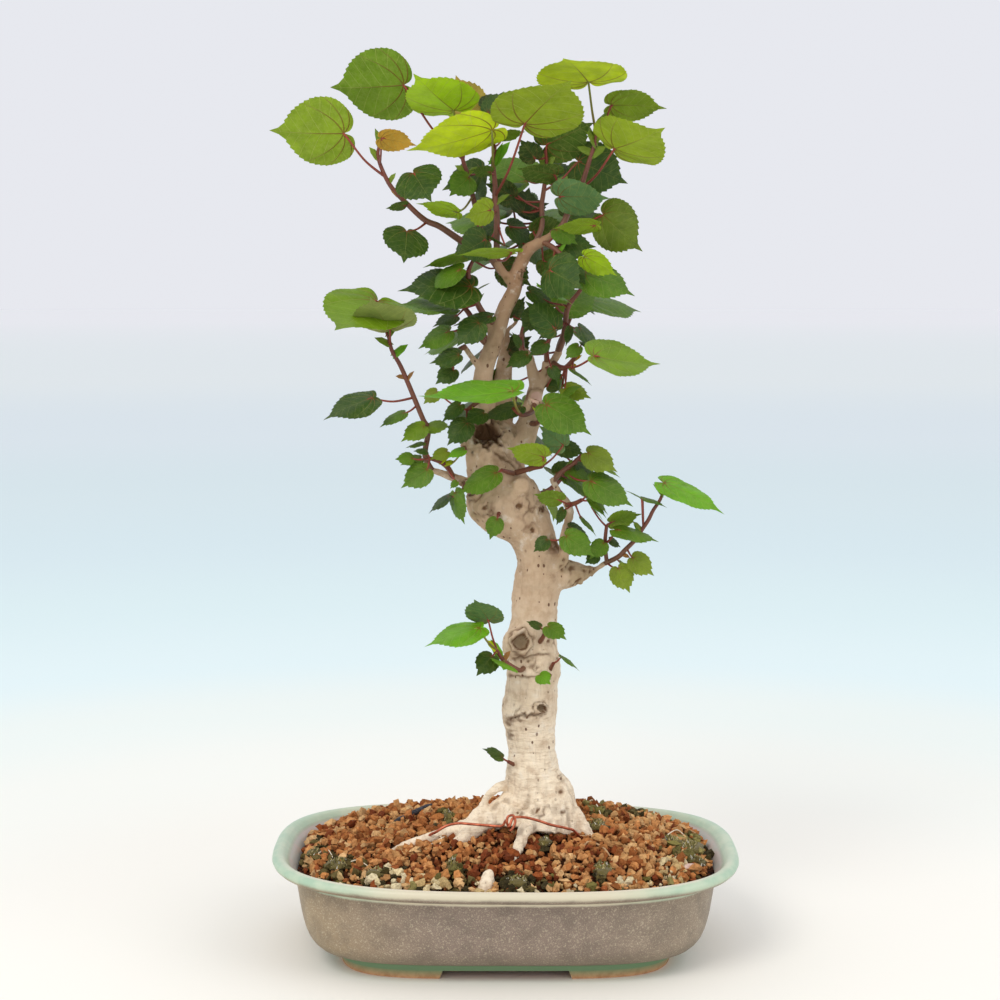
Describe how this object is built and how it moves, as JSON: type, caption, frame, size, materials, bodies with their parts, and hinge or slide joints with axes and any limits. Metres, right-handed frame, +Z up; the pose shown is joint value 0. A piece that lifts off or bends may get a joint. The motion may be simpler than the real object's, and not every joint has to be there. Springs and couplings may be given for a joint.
{
  "type": "sea hibiscus bonsai",
  "caption": "Potted bonsai tree with a thick pale trunk, surface roots, toothed heart-shaped leaves on red stalks and a shallow glazed oval pot.",
  "frame": {"origin": "middle of the pot's footprint, on the surface that its feet stand on", "axes": "+Z up, +X to the right along the pot's long side, -Y towards the front"},
  "size_m": [0.277, 0.2004, 0.5279],
  "materials": {
    "glazed_pot": "speckled taupe glaze with a celadon rim and bare feet",
    "soil": "fired clay granules",
    "bark": "pale bark with dark lenticels",
    "copper_wire": "satin copper",
    "drain_mesh": "matt green",
    "charcoal": "charred",
    "foliage": "thin living leaf, satin",
    "foliage_orange": "ageing leaf, satin",
    "foliage_bronze": "young leaf, satin"
  },
  "bodies": {
    "root": {"pot": "glazed_pot", "soil": "soil", "trunk": "bark", "tie_wire": "copper_wire", "drain_mesh_left": "drain_mesh", "drain_mesh_right": "drain_mesh", "charcoal": "charcoal", "top_left": "foliage", "leaf_orange": "foliage_orange", "top_centre_left": "foliage", "leaf_bronze": "foliage_bronze", "top_centre": "foliage", "leaf_level": "foliage", "top_right": "foliage", "top_middle": "foliage", "upper_left": "foliage", "upper_right": "foliage", "right_rising": "foliage", "inner_left": "foliage", "inner_low_left": "foliage", "inner_right": "foliage", "long_left": "foliage", "lower_left": "foliage", "hanging_left": "foliage", "front_level": "foliage", "front_small": "foliage", "middle_right": "foliage", "middle": "foliage", "stump_shoot": "foliage", "low_front_right": "foliage", "front_hanging": "foliage", "right_spray": "foliage", "right_drooping": "foliage", "shoulder_low": "foliage", "long_right": "foliage", "low_left_sprout": "foliage", "low_right_sprout": "foliage", "bud_leaf_upper": "foliage", "bud_leaf_lower": "foliage", "bud_leaf_base": "foliage", "bud_leaf_fork": "foliage", "back_upper": "foliage", "back_left": "foliage", "back_right": "foliage", "back_middle": "foliage", "back_low": "foliage"}
  },
  "joints": []
}
